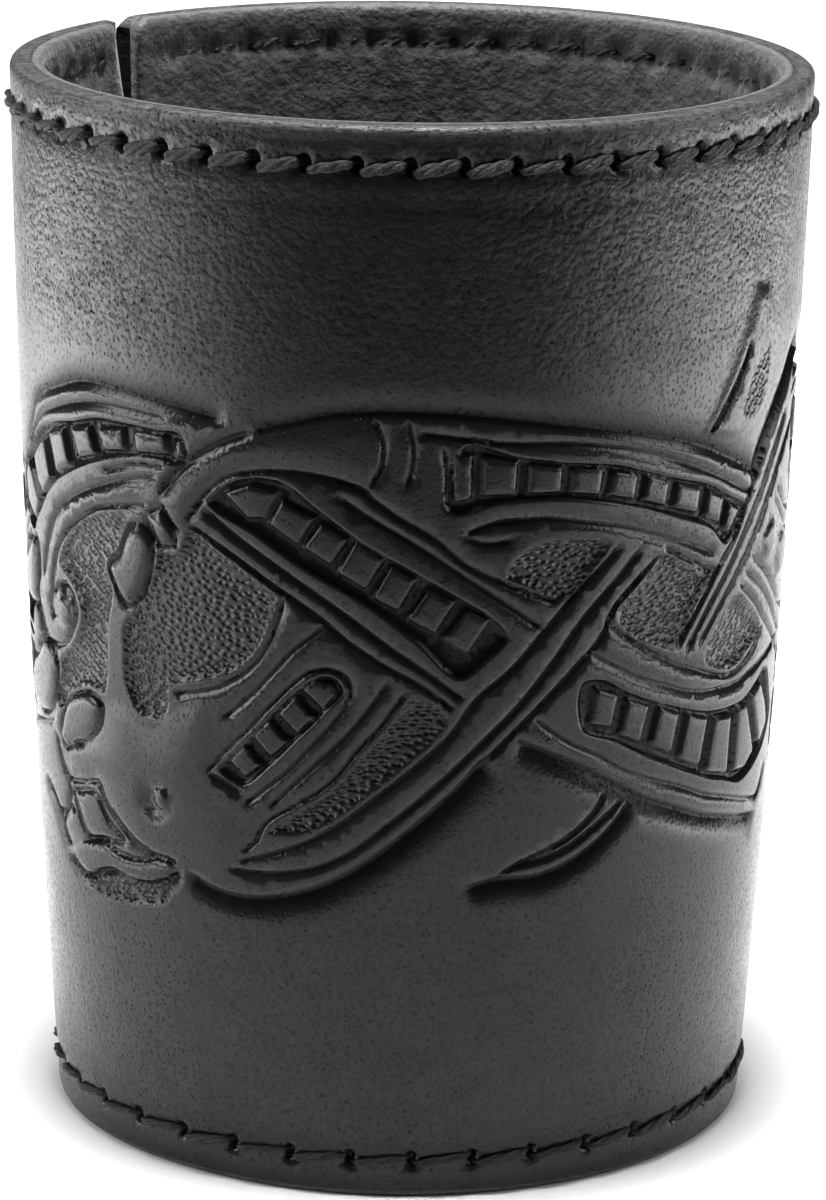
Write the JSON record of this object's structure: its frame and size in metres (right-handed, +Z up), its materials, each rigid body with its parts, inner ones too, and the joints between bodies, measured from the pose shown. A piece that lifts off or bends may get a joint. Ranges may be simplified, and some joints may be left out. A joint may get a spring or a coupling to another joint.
{
  "type": "leather dice cup",
  "caption": "Tapered round leather dice cup, lined, with a sewn-in base, a stitched rim and foot, a butted side seam and a tooled band of interlaced ornament.",
  "frame": {"origin": "centre of the foot, on the surface the cup stands on", "axes": "+Z up out of the open mouth, -Y out of the tooled front, +X to the right as the front is looked at"},
  "size_m": [0.0771, 0.0772, 0.1],
  "materials": {
    "tooled_leather": "satin",
    "suede_lining": "matte",
    "base_leather": "satin",
    "suede_pad": "matte",
    "waxed_thread": "satin"
  },
  "bodies": {
    "root": {"outer_wall": "tooled_leather", "wall_lining": "suede_lining", "base_disc": "base_leather", "base_pad": "suede_pad", "rim_thread": "waxed_thread", "base_thread": "waxed_thread", "seam_thread": "waxed_thread"}
  },
  "joints": []
}
